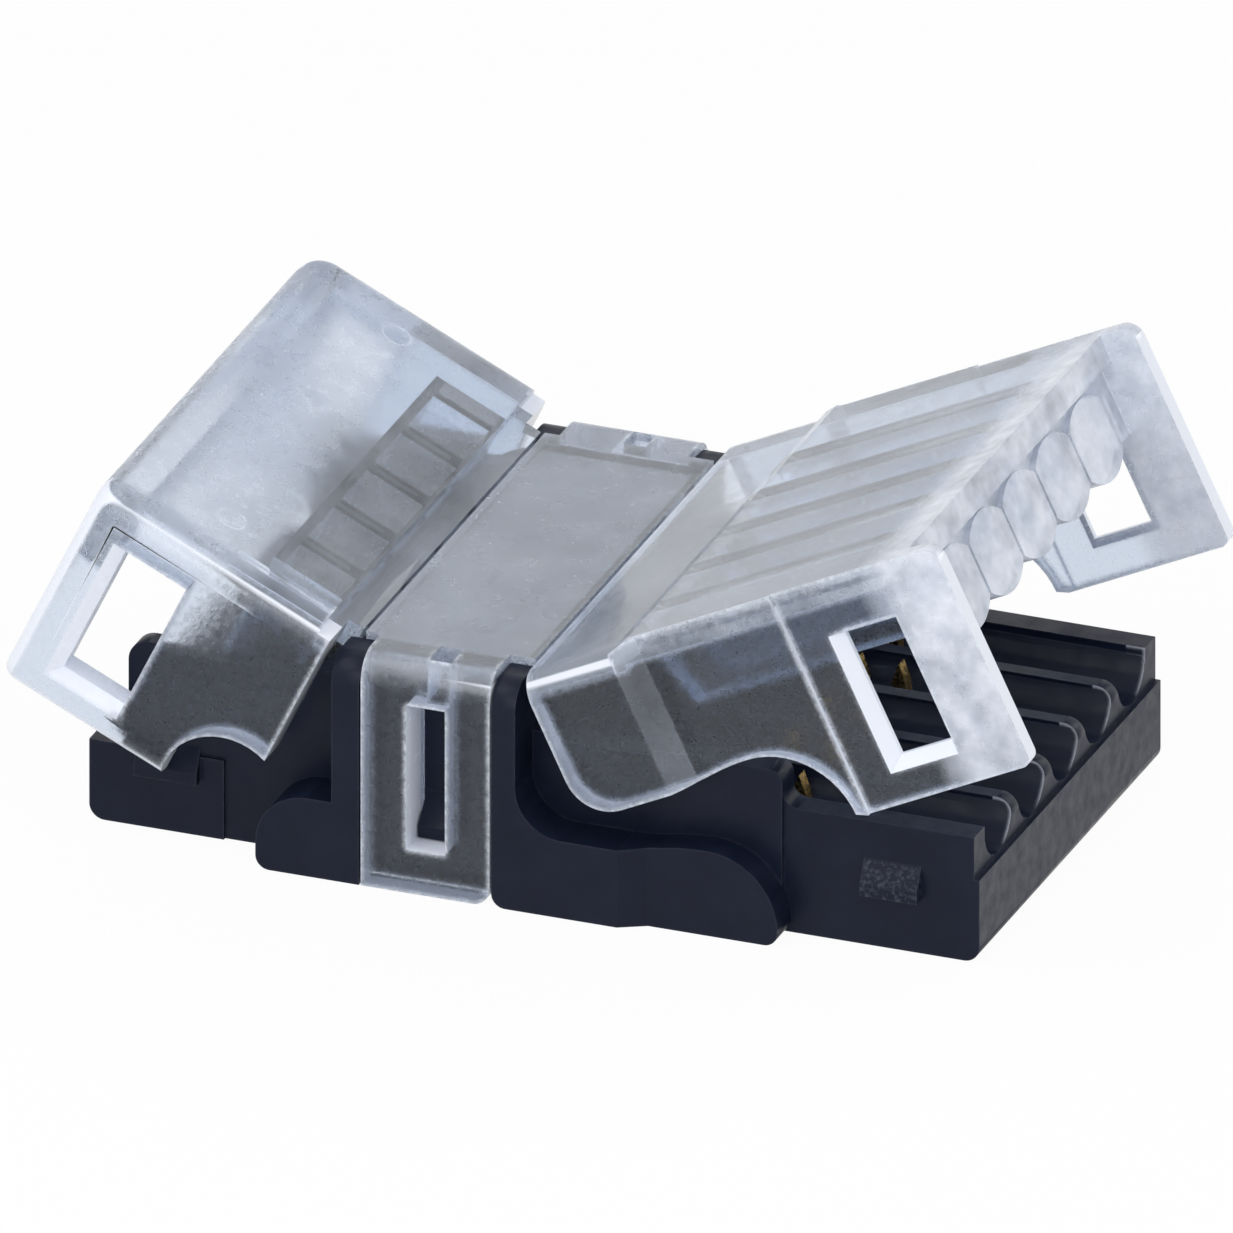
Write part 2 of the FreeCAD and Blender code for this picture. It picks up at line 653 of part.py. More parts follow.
def make_strip_lid():
    """Clear lid over the strip, drawn closed about its own hinge line, then turned open."""
    body = new_body("strip_lid")
    hinge = strip_hinge
    top = size.top_height
    left = -size.strip_lid_length
    skirt_edge = hinge - size.strip_post_edge - size.skirt_clearance
    tongue_edge = -size.hinge_gap
    rise = size.strip_lid_rise
    plate_bottom = rise - size.plate_thickness
    strip_bottom = -size.plate_thickness
    cheek_left = hinge - strip_cheek_left
    arch_radius = size.strip_cheek_radius + size.arch_clearance
    arch_level = size.strip_cheek_height - size.strip_cheek_radius - top
    arch_start = size.strip_cheek_height + size.arch_clearance - size.arch_dip - top
    skirt = new_sketch(body, "XZ_Plane", "skirt_outline")
    draw_outline(skirt, [
        (tongue_edge, zero),
        (-size.hinge_strip_width, zero),
        (-size.hinge_strip_width, rise),
        (left, rise, size.strip_lid_radius),
        (left, size.strip_skirt_bottom - top, size.skirt_corner_radius),
        (cheek_left - size.arch_clearance, size.strip_skirt_bottom - top),
        (cheek_left - size.arch_clearance, arch_level, "arc", arch_radius, -1),
        (skirt_edge, arch_start),
        (skirt_edge, strip_bottom),
        (tongue_edge, strip_bottom),
    ])
    pad(body, skirt, "shell", outer_half_width * 2, both_ways=True)

    hollow = new_sketch(body, "XZ_Plane", "hollow_outline")
    mouth_top = -size.strip_mouth_drop
    draw_outline(hollow, [
        (left - overshoot, -top - overshoot),
        (zero, -top - overshoot),
        (zero, strip_bottom),
        (-size.press_block_start, strip_bottom),
        (-size.press_block_start, plate_bottom),
        (left + size.strip_front_wall, plate_bottom),
        (left + size.strip_front_wall, mouth_top),
        (left - overshoot, mouth_top),
    ])
    pocket(body, hollow, "hollow", skirt_inner * 2, both_ways=True)

    corners = new_sketch(body, "XY_Plane", "post_corner_outlines")
    tongue_half = post_half_span - size.tongue_gap
    beyond = outer_half_width + overshoot
    draw_outline(corners, box_outline(skirt_edge, tongue_half, size.hinge_gap, beyond))
    draw_outline(corners, box_outline(skirt_edge, -beyond, size.hinge_gap, -tongue_half))
    pocket(body, corners, "post_corners", size.top_height, both_ways=True)

    block = new_sketch(body, "XZ_Plane", "press_block_outline")
    draw_outline(block, box_outline(-size.press_block_end, size.press_block_bottom - top,
                                    -size.press_block_start, plate_bottom + root))
    pad(body, block, "press_block", (bed_half_width - size.press_block_gap) * 2, both_ways=True)

    pockets = new_sketch(body, "XY_Plane", "press_pocket_outlines", size.press_block_bottom - top)
    half_slot = size.press_slot_width / 2
    half_pocket = size.channel_pitch / 2 - half_slot - size.press_wall
    pocket_left = -size.press_block_end + size.press_wall
    pocket_right = -size.press_block_start - size.press_wall
    for offset in channel_offsets:
        draw_outline(pockets, box_outline(pocket_left, offset - half_pocket,
                                          pocket_right, offset + half_pocket))
    for offset in channel_offsets[:-1]:
        between = offset + size.channel_pitch / 2
        draw_outline(pockets, box_outline(pocket_left, between - half_slot,
                                          pocket_right - size.press_slot_setback, between + half_slot))
    pocket(body, pockets, "press_pockets", size.press_pocket_depth, upwards=True)

    windows = new_sketch(body, "XZ_Plane", "window_outline")
    draw_outline(windows, box_outline(-strip_window_left, size.lid_window_bottom - top,
                                      -strip_window_right, -size.strip_window_drop))
    pocket(body, windows, "windows", (outer_half_width + overshoot) * 2, both_ways=True)
    bevel_windows(body, -strip_window_left.value, outer_half_width.value)
    corner_radius = outer_half_width - skirt_inner - size.strip_lid_corner_margin
    fillet(body, "free_corners", corner_radius, lambda edge: runs_along(edge, "z")
           and near(edge.CenterOfMass.x, left.value)
           and near(abs(edge.CenterOfMass.y), outer_half_width.value))
    stand_open(body, -strip_hinge, size.open_angle)
    return body


def make_wire_lid():
    """Clear lid over the wires: skirts with windows, a lobed end wall and a pressing rib over each wire."""
    body = new_body("wire_lid")
    hinge = size.wire_hinge
    top = size.top_height
    rise = size.wire_lid_rise
    plate_bottom = rise - size.plate_thickness
    strip_bottom = -size.plate_thickness
    edge = size.wire_post_edge + size.skirt_clearance - hinge
    bottom = size.scoop_height + size.wire_arch_clearance - top
    corner = size.scoop_radius - size.skirt_clearance
    crown_x, arch_level, cheek_radius = cheek_arch()
    arch_radius = cheek_radius + size.wire_arch_clearance
    panel_start, panel_end, window_left, window_right = wire_panel_ends()
    panel_bottom = size.wire_panel_bottom - top
    slope_start = size.joggle_start - hinge
    outline = [
        (edge, zero),
        (edge, bottom + corner, "arc", corner, 1),
        (edge + corner, bottom),
    ]
    outline += s_curve(size.scoop_rise_start - hinge, bottom, crown_x - hinge, bottom + size.scoop_rise, 1)
    outline += [
        (crown_x - hinge, bottom + size.scoop_rise, "arc", arch_radius, -1),
        (crown_x - hinge + arch_radius, arch_level - top),
        (panel_start, panel_bottom),
        (panel_end, panel_bottom, size.skirt_corner_radius),
        (panel_end, rise, size.wire_lid_radius),
        (slope_start + size.wire_lid_slope, rise),
        (slope_start, zero),
    ]
    skirt = new_sketch(body, "XZ_Plane", "skirt_outline")
    draw_outline(skirt, outline)
    pad(body, skirt, "shell", outer_half_width * 2, both_ways=True)

    joggle = new_sketch(body, "XY_Plane", "joggle_outlines")
    beyond = outer_half_width + overshoot
    near_side = [
        (size.joggle_start - hinge, -beyond),
        (panel_end + overshoot, -beyond),
        (panel_end + overshoot, -wire_panel_half_width),
        (panel_start, -wire_panel_half_width),
        (panel_start, -joggle_half_width),
        (size.joggle_end - hinge, -joggle_half_width),
        (size.joggle_start - hinge, -outer_half_width),
    ]
    draw_outline(joggle, near_side)
    draw_outline(joggle, [(x, -y) for x, y in near_side])
    pocket(body, joggle, "joggle", (size.top_height + overshoot) * 2, both_ways=True)

    shoulder = new_sketch(body, "YZ_Plane", "shoulder_outlines", slope_start)
    for side in (-1, 1):
        draw_outline(shoulder, [
            (outer_half_width * side, -size.cover_shoulder_radius, "arc", size.cover_shoulder_radius, side),
            ((outer_half_width - size.cover_shoulder_radius) * side, zero),
            ((outer_half_width - size.cover_shoulder_radius) * side, overshoot),
            ((outer_half_width + overshoot) * side, overshoot),
            ((outer_half_width + overshoot) * side, -size.cover_shoulder_radius),
        ])
    pocket(body, shoulder, "shoulders", slope_start)

    hollow = new_sketch(body, "XZ_Plane", "hollow_outline")
    wall_end = size.wire_lid_length - size.lobe_wall_setback
    wall_start = wall_end - size.lobe_wall
    lobe_bottom = size.lobe_bottom - top
    wall_bottom = lobe_bottom + size.lobe_sag
    draw_outline(hollow, [
        (edge - overshoot, -top - overshoot),
        (panel_end + overshoot, -top - overshoot),
        (panel_end + overshoot, rise + overshoot),
        (size.wire_lid_length, rise + overshoot),
        (size.wire_lid_length, plate_bottom),
        (wall_end, plate_bottom),
        (wall_end, wall_bottom),
        (wall_start, wall_bottom),
        (wall_start, plate_bottom),
        (size.rib_start, plate_bottom),
        (size.rib_start, strip_bottom),
        (edge - overshoot, strip_bottom),
    ])
    pocket(body, hollow, "hollow", skirt_inner * 2, both_ways=True)

    lobes = new_sketch(body, "YZ_Plane", "lobe_outlines", wall_start)
    half_lobe = (size.channel_pitch - size.lobe_gap) / 2
    lobe_radius = (half_lobe * half_lobe + size.lobe_sag * size.lobe_sag) / (size.lobe_sag * 2)
    lobe_crown = plate_bottom - size.lobe_crown_drop
    for offset in channel_offsets:
        draw_outline(lobes, [
            (offset - half_lobe, wall_bottom, "arc", lobe_radius, 1),
            (offset, lobe_bottom, "arc", lobe_radius, 1),
            (offset + half_lobe, wall_bottom),
            (offset + half_lobe, lobe_crown - size.lobe_sag, "arc", lobe_radius, 1),
            (offset, lobe_crown, "arc", lobe_radius, 1),
            (offset - half_lobe, lobe_crown - size.lobe_sag),
        ])
    pad(body, lobes, "lobes", size.lobe_wall + size.lobe_proud)

    windows = new_sketch(body, "XZ_Plane", "window_outline")
    draw_outline(windows, box_outline(window_left, size.lid_window_bottom - top,
                                      window_right, -size.wire_window_drop))
    pocket(body, windows, "windows", (outer_half_width + overshoot) * 2, both_ways=True)
    bevel_windows(body, window_left.value, wire_panel_half_width.value)

    first_rib = size.channel_pitch * ((size.channels - 1) / 2)
    rib_outline = new_sketch(body, "XZ_Plane", "rib_outline", first_rib)
    rib_bottom = size.rib_bottom - top
    rib_end = size.wire_lid_length - size.rib_end_gap
    draw_outline(rib_outline, [
        (size.rib_start, plate_bottom + root),
        (size.rib_start + size.rib_slope, rib_bottom),
        (rib_end, rib_bottom),
        (rib_end, plate_bottom + root),
    ])
    rib = pad(body, rib_outline, "rib", size.rib_width, both_ways=True)
    doc.recompute()
    ribs = body.newObject("PartDesign::LinearPattern", "ribs")
    ribs.Originals = [rib]
    ribs.Direction = ([axis for axis in body.Origin.OriginFeatures if axis.Role == "Y_Axis"][0], [""])
    ribs.Length = first_rib.value * 2
    ribs.setExpression("Length", (first_rib * 2).formula)
    ribs.Occurrences = driving_sizes["channels"]
    ribs.setExpression("Occurrences", "Sizes.channels")
    body.Tip = ribs
    stand_open(body, size.wire_hinge, -size.open_angle)
    return body


def bevel_windows(body, left, face):
    """Bevel each window's left edge and sill where they meet the skirt's outer face, at y = face."""
    sill = driving_sizes["lid_window_bottom"] - driving_sizes["top_height"]

    def on_frame(edge):
        middle = edge.CenterOfMass
        left_edge = runs_along(edge, "z") and near(middle.x, left)
        sill_edge = runs_along(edge, "x") and near(middle.z, sill)
        return near(abs(middle.y), face) and (left_edge or sill_edge)

    base = body.Tip
    names = [f"Edge{number}" for number, edge in enumerate(base.Shape.Edges, start=1) if on_frame(edge)]
    chamfer = body.newObject("PartDesign::Chamfer", "window_bevels")
    chamfer.Base = (base, names)
    chamfer.Size = size.window_chamfer.value
    chamfer.setExpression("Size", size.window_chamfer.formula)
    doc.recompute()


def stand_open(body, hinge_x, angle):
    """Put the lid's own origin on its hinge line, and turn the lid about that line."""
    body.Placement = FreeCAD.Placement(
        FreeCAD.Vector(hinge_x.value, 0, driving_sizes["top_height"]),
        FreeCAD.Rotation(FreeCAD.Vector(0, 1, 0), angle.value),
    )
    body.setExpression("Placement.Base.x", hinge_x.formula)
    body.setExpression("Placement.Base.z", "Sizes.top_height")
    body.setExpression("Placement.Rotation.Angle", angle.formula)


def make_contact(number, offset):
    """Blanked brass contact on edge: a bar with two pointed pins for the strip and two for the wire."""
    body = new_body(f"contact_{number}")
    left_end, right_end, _, _ = contact_ends()
    bar_top = size.contact_bottom + size.contact_bar_height
    half_pin = size.pin_width / 2
    half_neck = size.pin_neck_width / 2
    outline = [
        (left_end, size.contact_bottom),
        (right_end, size.contact_bottom),
        (right_end, bar_top),
    ]
    pins = [
        (size.wire_pin_first + size.pin_spacing, size.wire_tooth_tip),
        (size.wire_pin_first, size.wire_tooth_tip),
        (-size.strip_pin_first, size.strip_tooth_tip),
        (-size.strip_pin_first - size.pin_spacing, size.strip_tooth_tip),
    ]
    for middle, tip in pins:
        outline += [
            (middle + half_pin, bar_top),
            (middle + half_neck, tip - size.pin_shoulder),
            (middle, tip),
            (middle - half_neck, tip - size.pin_shoulder),
            (middle - half_pin, bar_top),
        ]
    outline.append((left_end, bar_top))
    blank = new_sketch(body, "XZ_Plane", "blank_outline")
    draw_outline(blank, outline)
    pad(body, blank, "blank", size.contact_thickness, both_ways=True)
    body.Placement.Base = FreeCAD.Vector(0, offset.value, 0)
    body.setExpression("Placement.Base.y", offset.formula)
    return body


sub_parts = [make_base_housing(), make_centre_cover(), make_strip_lid(), make_wire_lid()]
for number, offset in enumerate(channel_offsets, start=1):
    sub_parts.append(make_contact(number, offset))
doc.recompute()

for item in doc.Objects:
    if "Invalid" in item.State or "Error" in item.State:
        raise RuntimeError(f"{item.Label} failed: {item.State}")
for sub_part in sub_parts:
    if sub_part.Shape.isNull() or not sub_part.Shape.isValid() or len(sub_part.Shape.Solids) != 1:
        raise RuntimeError(f"{sub_part.Label} isn't one valid solid")

os.makedirs("parts", exist_ok=True)
for sub_part in sub_parts:
    sub_part.Shape.exportStep(f"parts/{sub_part.Label}.step")
    box = sub_part.Shape.BoundBox
    print(f"{sub_part.Label}: {sub_part.Shape.Volume:.2f} mm3, x {box.XMin:.2f} to {box.XMax:.2f}, "
          f"y {box.YMin:.2f} to {box.YMax:.2f}, z {box.ZMin:.2f} to {box.ZMax:.2f}")
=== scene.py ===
import math

import bpy
from mathutils import Matrix, Vector

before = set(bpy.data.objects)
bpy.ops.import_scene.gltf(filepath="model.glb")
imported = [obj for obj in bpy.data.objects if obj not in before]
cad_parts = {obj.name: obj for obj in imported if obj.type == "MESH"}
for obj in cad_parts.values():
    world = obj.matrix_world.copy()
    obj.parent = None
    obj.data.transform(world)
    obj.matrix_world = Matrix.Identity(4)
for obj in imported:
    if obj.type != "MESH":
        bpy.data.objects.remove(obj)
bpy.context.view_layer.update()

MM = 0.001


# The studio: a pale floor that keeps a soft shadow, white all round, and a camera that looks from the
# right of the near side, a little above. The view has no perspective to speak of, so it is orthographic.
FRAME_PIXELS = 1233
PIXELS_PER_MM = 37.0
ORIGIN_PIXEL = (623.0, 788.4)
AZIMUTH = math.radians(21.1)
ELEVATION = math.radians(25.4)
CAMERA_DISTANCE = 200 * MM
CAMERA_NEAR = 1 * MM
CAMERA_FAR = 10
FLOOR_HALF = 400 * MM
FLOOR_DROP = 0.01 * MM
FLOOR_GREY = (0.9, 0.9, 0.9, 1)
FLOOR_GLOW = 0.95
ROOM_LIGHT = 0.55
WHITE = (1, 1, 1, 1)
LAMPS_FACE = Vector((0, 0, 4 * MM))


def feed(owner, socket, value):
    """Join a socket to another node's output, or set it to a plain value."""
    if isinstance(value, bpy.types.NodeSocket):
        owner.node_tree.links.new(value, socket)
    else:
        socket.default_value = value


def shader_node(owner, kind, **settings):
    """Add a node to a material or the world, with its properties and inputs set by name."""
    node = owner.node_tree.nodes.new(kind)
    for name, value in settings.items():
        if hasattr(node, name):
            setattr(node, name, value)
        else:
            feed(owner, node.inputs[name.replace("_", " ")], value)
    return node


def mixed_shader(owner, share, first, second):
    node = shader_node(owner, "ShaderNodeMixShader")
    for socket, value in zip(node.inputs, (share, first.outputs[0], second.outputs[0])):
        feed(owner, socket, value)
    return node


def empty_material(name):
    material = bpy.data.materials.new(name)
    material.use_nodes = True
    material.node_tree.nodes.clear()
    return material


def covered_with(material, surface):
    """The material, with that shader as its surface."""
    shader_node(material, "ShaderNodeOutputMaterial", Surface=surface.outputs[0])
    return material


def work_out(owner, operation, first, second):
    """The result of a sum on two values."""
    node = shader_node(owner, "ShaderNodeMath", operation=operation)
    feed(owner, node.inputs[0], first)
    feed(owner, node.inputs[1], second)
    return node.outputs[0]


def both(owner, first, second):
    return work_out(owner, "MULTIPLY", first, second)


def either(owner, first, second):
    return work_out(owner, "MAXIMUM", first, second)


def seen_directly(owner):
    """1 for what the camera sees, also mirrored or through clear plastic, 0 for the light it sheds."""
    path = shader_node(owner, "ShaderNodeLightPath")
    mirrored = either(owner, path.outputs["Is Camera Ray"], path.outputs["Is Glossy Ray"])
    return either(owner, mirrored, path.outputs["Is Transmission Ray"])


def camera_at_photo_angle():
    right = Vector((math.cos(AZIMUTH), math.sin(AZIMUTH), 0))
    back = Vector((math.sin(AZIMUTH) * math.cos(ELEVATION), -math.cos(AZIMUTH) * math.cos(ELEVATION),
                   math.sin(ELEVATION)))
    up = back.cross(right)
    middle = FRAME_PIXELS / 2
    aim = right * (middle - ORIGIN_PIXEL[0]) + up * (ORIGIN_PIXEL[1] - middle)
    data = bpy.data.cameras.new("photo_camera")
    data.type = "ORTHO"
    data.ortho_scale = FRAME_PIXELS / PIXELS_PER_MM * MM
    data.clip_start = CAMERA_NEAR
    data.clip_end = CAMERA_FAR
    camera = bpy.data.objects.new("photo_camera", data)
    turn = Matrix((right, up, back)).transposed().to_4x4()
    camera.matrix_world = Matrix.Translation(aim * MM / PIXELS_PER_MM + back * CAMERA_DISTANCE) @ turn
    bpy.context.scene.collection.objects.link(camera)
    bpy.context.scene.camera = camera


def floor_material():
    material = empty_material("pale_floor")
    paint = shader_node(material, "ShaderNodeBsdfDiffuse", Color=FLOOR_GREY)
    glow = shader_node(material, "ShaderNodeEmission", Color=WHITE, Strength=1.0)
    share = both(material, seen_directly(material), FLOOR_GLOW)
    return covered_with(material, mixed_shader(material, share, paint, glow))


def lay_floor():
    mesh = bpy.data.meshes.new("floor")
    corners = [(-FLOOR_HALF, -FLOOR_HALF, 0), (FLOOR_HALF, -FLOOR_HALF, 0),
               (FLOOR_HALF, FLOOR_HALF, 0), (-FLOOR_HALF, FLOOR_HALF, 0)]
    mesh.from_pydata(corners, [], [(0, 1, 2, 3)])
    mesh.materials.append(floor_material())
    floor = bpy.data.objects.new("floor", mesh)
    floor.location.z = -FLOOR_DROP
    bpy.context.scene.collection.objects.link(floor)


def white_surroundings():
    world = bpy.data.worlds.new("surroundings")
    world.use_nodes = True
    world.node_tree.nodes.clear()
    shed = shader_node(world, "ShaderNodeBackground", Color=WHITE, Strength=ROOM_LIGHT)
    seen = shader_node(world, "ShaderNodeBackground", Color=WHITE, Strength=1.0)
    mix = mixed_shader(world, seen_directly(world), shed, seen)
    shader_node(world, "ShaderNodeOutputWorld", Surface=mix.outputs[0])
    bpy.context.scene.world = world


def softbox(name, place, width, watts):
    """An area lamp that faces the middle of the connector, with its place and width in millimetres."""
    lamp = bpy.data.lights.new(name, "AREA")
    lamp.size = width * MM
    lamp.energy = watts
    holder = bpy.data.objects.new(name, lamp)
    holder.location = Vector(place) * MM
    holder.rotation_euler = (LAMPS_FACE - holder.location).to_track_quat("-Z", "Y").to_euler()
    bpy.context.scene.collection.objects.link(holder)


bpy.context.scene.view_settings.view_transform = "Standard"
camera_at_photo_angle()
lay_floor()
white_surroundings()
softbox("key_softbox", (-60, -50, 120), 90, 0.05)
softbox("rear_softbox", (90, 110, 80), 80, 0.045)
softbox("front_softbox", (20, -140, 70), 90, 0.06)
softbox("right_spot", (110, -40, 75), 14, 0.012)


# The base: one black moulding with a satin, lightly spark-eroded skin, which carries everything else.
# Its edges are broken by the mould's small radii, which catch the light. Pale lines along the edges, pale
# specks on the latch teeth at the wires' end and pale bands at the groove mouths are painted highlights.
BLACK_EDGE = 0.07 * MM
WELD_REACH = 0.001 * MM
SHARP_FROM = math.radians(28)
EDGE_SEGMENTS = 2
SOFT_LIMIT = 0.01 * MM
NOISE_ROUGHNESS = 0.6
NOISE_LOW = 0.3
NOISE_HIGH = 0.7


def soften_edges(piece, width):
    """Close the seams that the mesh was saved with, then break its sharp edges."""
    weld = piece.modifiers.new("close_seams", "WELD")
    weld.merge_threshold = WELD_REACH
    bevel = piece.modifiers.new("edge_radius", "BEVEL")
    bevel.width = width
    bevel.segments = EDGE_SEGMENTS
    bevel.limit_method = "ANGLE"
    bevel.angle_limit = SHARP_FROM
    bevel.use_clamp_overlap = True
    bevel.harden_normals = True


def grain(material, places, size, detail=3.0):
    """Noise whose lumps are about as wide as size."""
    noise = shader_node(material, "ShaderNodeTexNoise", Vector=places, Scale=1 / size, Detail=detail,
                        Roughness=NOISE_ROUGHNESS)
    return noise.outputs["Fac"]


def spread(material, value, low, high, start=NOISE_LOW, end=NOISE_HIGH):
    """Turn a value that runs from start to end, as noise does, into one that runs from low to high."""
    node = shader_node(material, "ShaderNodeMapRange", Value=value, From_Min=start, From_Max=end,
                       To_Min=low, To_Max=high)
    return node.outputs["Result"]


def beyond(material, value, limit):
    """1 past the limit and 0 before it."""
    return spread(material, value, 0, 1, limit - SOFT_LIMIT, limit)


def up_to(material, value, limit, fade=SOFT_LIMIT):
    """1 as far as the limit and 0 from fade past it."""
    return spread(material, value, 1, 0, limit, limit + fade)


def coordinate(material, vector, axis):
    return shader_node(material, "ShaderNodeSeparateXYZ", Vector=vector).outputs[axis]


def unsigned(material, value):
    node = shader_node(material, "ShaderNodeMath", operation="ABSOLUTE")
    feed(material, node.inputs[0], value)
    return node.outputs[0]


def measured(material, operation, first, second):
    """The number that an operation on two vectors gives."""
    node = shader_node(material, "ShaderNodeVectorMath", operation=operation)
    feed(material, node.inputs[0], first)
    feed(material, node.inputs[1], second)
    return node.outputs["Value"]


def blend(material, share, first, second, kind="RGBA"):
    """Go from first to second as share goes from 0 to 1."""
    node = shader_node(material, "ShaderNodeMix", data_type=kind, Factor=share, A=first, B=second)
    return node.outputs["Result"]


# How alike the true normal and one that is rounded off are, at an edge and away from it.
EDGE_TURN = (0.80, 0.985)
EDGE_SAMPLES = 6


def edge_band(material, width):
    """1 close to an edge of the piece, 0 from width away."""
    rounded_off = shader_node(material, "ShaderNodeBevel", samples=EDGE_SAMPLES, Radius=width).outputs[0]
    straight = shader_node(material, "ShaderNodeNewGeometry").outputs["Normal"]
    return spread(material, measured(material, "DOT_PRODUCT", rounded_off, straight), 1, 0, *EDGE_TURN)


# The black skin: its two shades, and the sizes of its patches and of its spark-eroded grain.
BLACK_DEEP = (0.0045, 0.0075, 0.020, 1)
BLACK_PALE = (0.0075, 0.0110, 0.026, 1)
BLACK_ROUGHNESS = (0.28, 0.46)
BLACK_SHEEN = 0.17
BLACK_IOR = 1.5
SHADE_GRAIN = 1.6 * MM
GLOSS_GRAIN = 0.5 * MM
SKIN_GRAIN = 0.09 * MM
SKIN_DEPTH = 0.006 * MM
SKIN_STRENGTH = 0.35

# Painted highlights: pale lines along its edges, in patches, and pale specks on the latch teeth that stand
# outside the walls.
PAINTED_HIGHLIGHT_GREY = (0.040, 0.046, 0.068, 1)
HIGHLIGHT_EDGE = 0.10 * MM
HIGHLIGHT_GRAIN = 0.3 * MM
HIGHLIGHT_SHARE = (0.1, 0.8)
WALL_OUTSIDE = 6.83 * MM
TOOTH_START = 8.1 * MM
SPECK_GRAIN = 0.12 * MM
SPECK_LEVELS = (0.45, 0.65)

# A painted glint: the steep walls of the grooves are painted pale where the wires come in.
MOUTH_GLINT_GREY = (0.50, 0.52, 0.60, 1)
MOUTH_START = 12.25 * MM
MOUTH_BAND = 0.22 * MM
MOUTH_STEEPNESS = (0.25, 0.6)
GROOVES_HALF = 6.13 * MM
GROOVES_FADE = 0.1 * MM


def black_plastic():
    material = empty_material("satin_black_plastic")
    coordinates = shader_node(material, "ShaderNodeTexCoord")
    places = coordinates.outputs["Object"]
    along = coordinate(material, places, "X")
    across = unsigned(material, coordinate(material, places, "Y"))
    sideways = unsigned(material, coordinate(material, coordinates.outputs["Normal"], "Y"))

    # Painted highlight: pale lines along the edges, broken into patches by noise.
    highlight_patches = spread(material, grain(material, places, HIGHLIGHT_GRAIN), *HIGHLIGHT_SHARE)
    edge_highlight = both(material, edge_band(material, HIGHLIGHT_EDGE), highlight_patches)
    # Painted glints: pale specks on the latch teeth that stand outside the walls.
    tooth = both(material, beyond(material, across, WALL_OUTSIDE), beyond(material, along, TOOTH_START))
    specks = spread(material, grain(material, places, SPECK_GRAIN), 0, 1, *SPECK_LEVELS)
    pale = either(material, edge_highlight, both(material, tooth, specks))

    # Painted glint: pale on the steep groove walls, close to the edges at the mouths.
    steep = spread(material, sideways, 0, 1, *MOUTH_STEEPNESS)
    groove_wall = both(material, beyond(material, along, MOUTH_START), steep)
    mouth_glint = both(material, edge_band(material, MOUTH_BAND), groove_wall)
    mouth_glint = both(material, mouth_glint, up_to(material, across, GROOVES_HALF, GROOVES_FADE))

    colour = blend(material, spread(material, grain(material, places, SHADE_GRAIN), 0, 1),
                   BLACK_DEEP, BLACK_PALE)
    # Lay the painted highlights, and then the painted mouth glints, over the black.
    colour = blend(material, pale, colour, PAINTED_HIGHLIGHT_GREY)
    colour = blend(material, mouth_glint, colour, MOUTH_GLINT_GREY)
    roughness = spread(material, grain(material, places, GLOSS_GRAIN), *BLACK_ROUGHNESS)
    skin = shader_node(material, "ShaderNodeBump", Strength=SKIN_STRENGTH, Distance=SKIN_DEPTH,
                       Height=grain(material, places, SKIN_GRAIN))
    surface = shader_node(material, "ShaderNodeBsdfPrincipled", IOR=BLACK_IOR,
                          Specular_IOR_Level=BLACK_SHEEN, Base_Color=colour, Roughness=roughness,
                          Normal=skin.outputs["Normal"])
    return covered_with(material, surface)


def dress(node, material):
    """Give a node of the frame its material."""
    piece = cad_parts[node]
    piece.data.materials.clear()
    piece.data.materials.append(material)
    return piece


soften_edges(dress("base_housing", black_plastic()), BLACK_EDGE)


# The contacts: five blanks of thin brass on edge, pressed into slots from below. Their pins are what
# shows, as small golden glints in the grooves.
BRASS_DARK = (0.72, 0.46, 0.14, 1)
BRASS_BRIGHT = (0.90, 0.66, 0.28, 1)
BRASS_ROUGHNESS = (0.18, 0.34)
TARNISH_GRAIN = 0.4 * MM
ROLLED_GRAIN = 0.15 * MM


def blanked_brass():
    material = empty_material("blanked_brass")
    places = shader_node(material, "ShaderNodeTexCoord").outputs["Object"]
    colour = blend(material, spread(material, grain(material, places, TARNISH_GRAIN), 0, 1),
                   BRASS_DARK, BRASS_BRIGHT)
    roughness = spread(material, grain(material, places, ROLLED_GRAIN), *BRASS_ROUGHNESS)
    surface = shader_node(material, "ShaderNodeBsdfPrincipled", Metallic=1.0, Base_Color=colour,
                          Roughness=roughness)
    return covered_with(material, surface)


brass = blanked_brass()
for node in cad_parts:
    if node.startswith("contact_"):
        dress(node, brass)


# The clear mouldings: a cover whose two straps clip over wedges on the base, and two lids that fold on
# thin film hinges beside it. All three are water-clear plastic with a faint blue cast and a thin haze,
# and the wire lid's free end is frosted, where the tool was spark-eroded.
CLEAR_EDGE = 0.10 * MM
SIDE_FACE = (0.85, 0.95)
CUT_FACE = (0.75, 0.85)
BLOCK_END = (3.2 * MM, 4.2 * MM)


def distance_along(material, places, start, direction):
    """How far each place lies from start in that direction, in metres."""
    return work_out(material, "SUBTRACT", measured(material, "DOT_PRODUCT", places, direction),
                    start.dot(direction))


def measures(material, hinge, away):
    """Where each place of a piece lies from its hinge line, and how far its surface faces sideways."""
    up = Vector((-away.z, 0, away.x)) if away.x > 0 else Vector((away.z, 0, -away.x))
    coordinates = shader_node(material, "ShaderNodeTexCoord")
    places = coordinates.outputs["Object"]
    sideways = unsigned(material, coordinate(material, coordinates.outputs["Normal"], "Y"))
    return {
        "places": places,
        "outward": distance_along(material, places, hinge, away),
        "above": distance_along(material, places, hinge, up),
        "across": unsigned(material, coordinate(material, places, "Y")),
        "sideways": sideways,
        "side_face": spread(material, sideways, 0, 1, *SIDE_FACE),
    }


ETCHED_GRAIN = 0.6 * MM
ETCHED_DETAIL = 5.0
POLISHED_SHARE = 0.25
SIDE_GRAIN = 0.25 * MM
SIDE_ROUGHNESS = (0.06, 0.34)


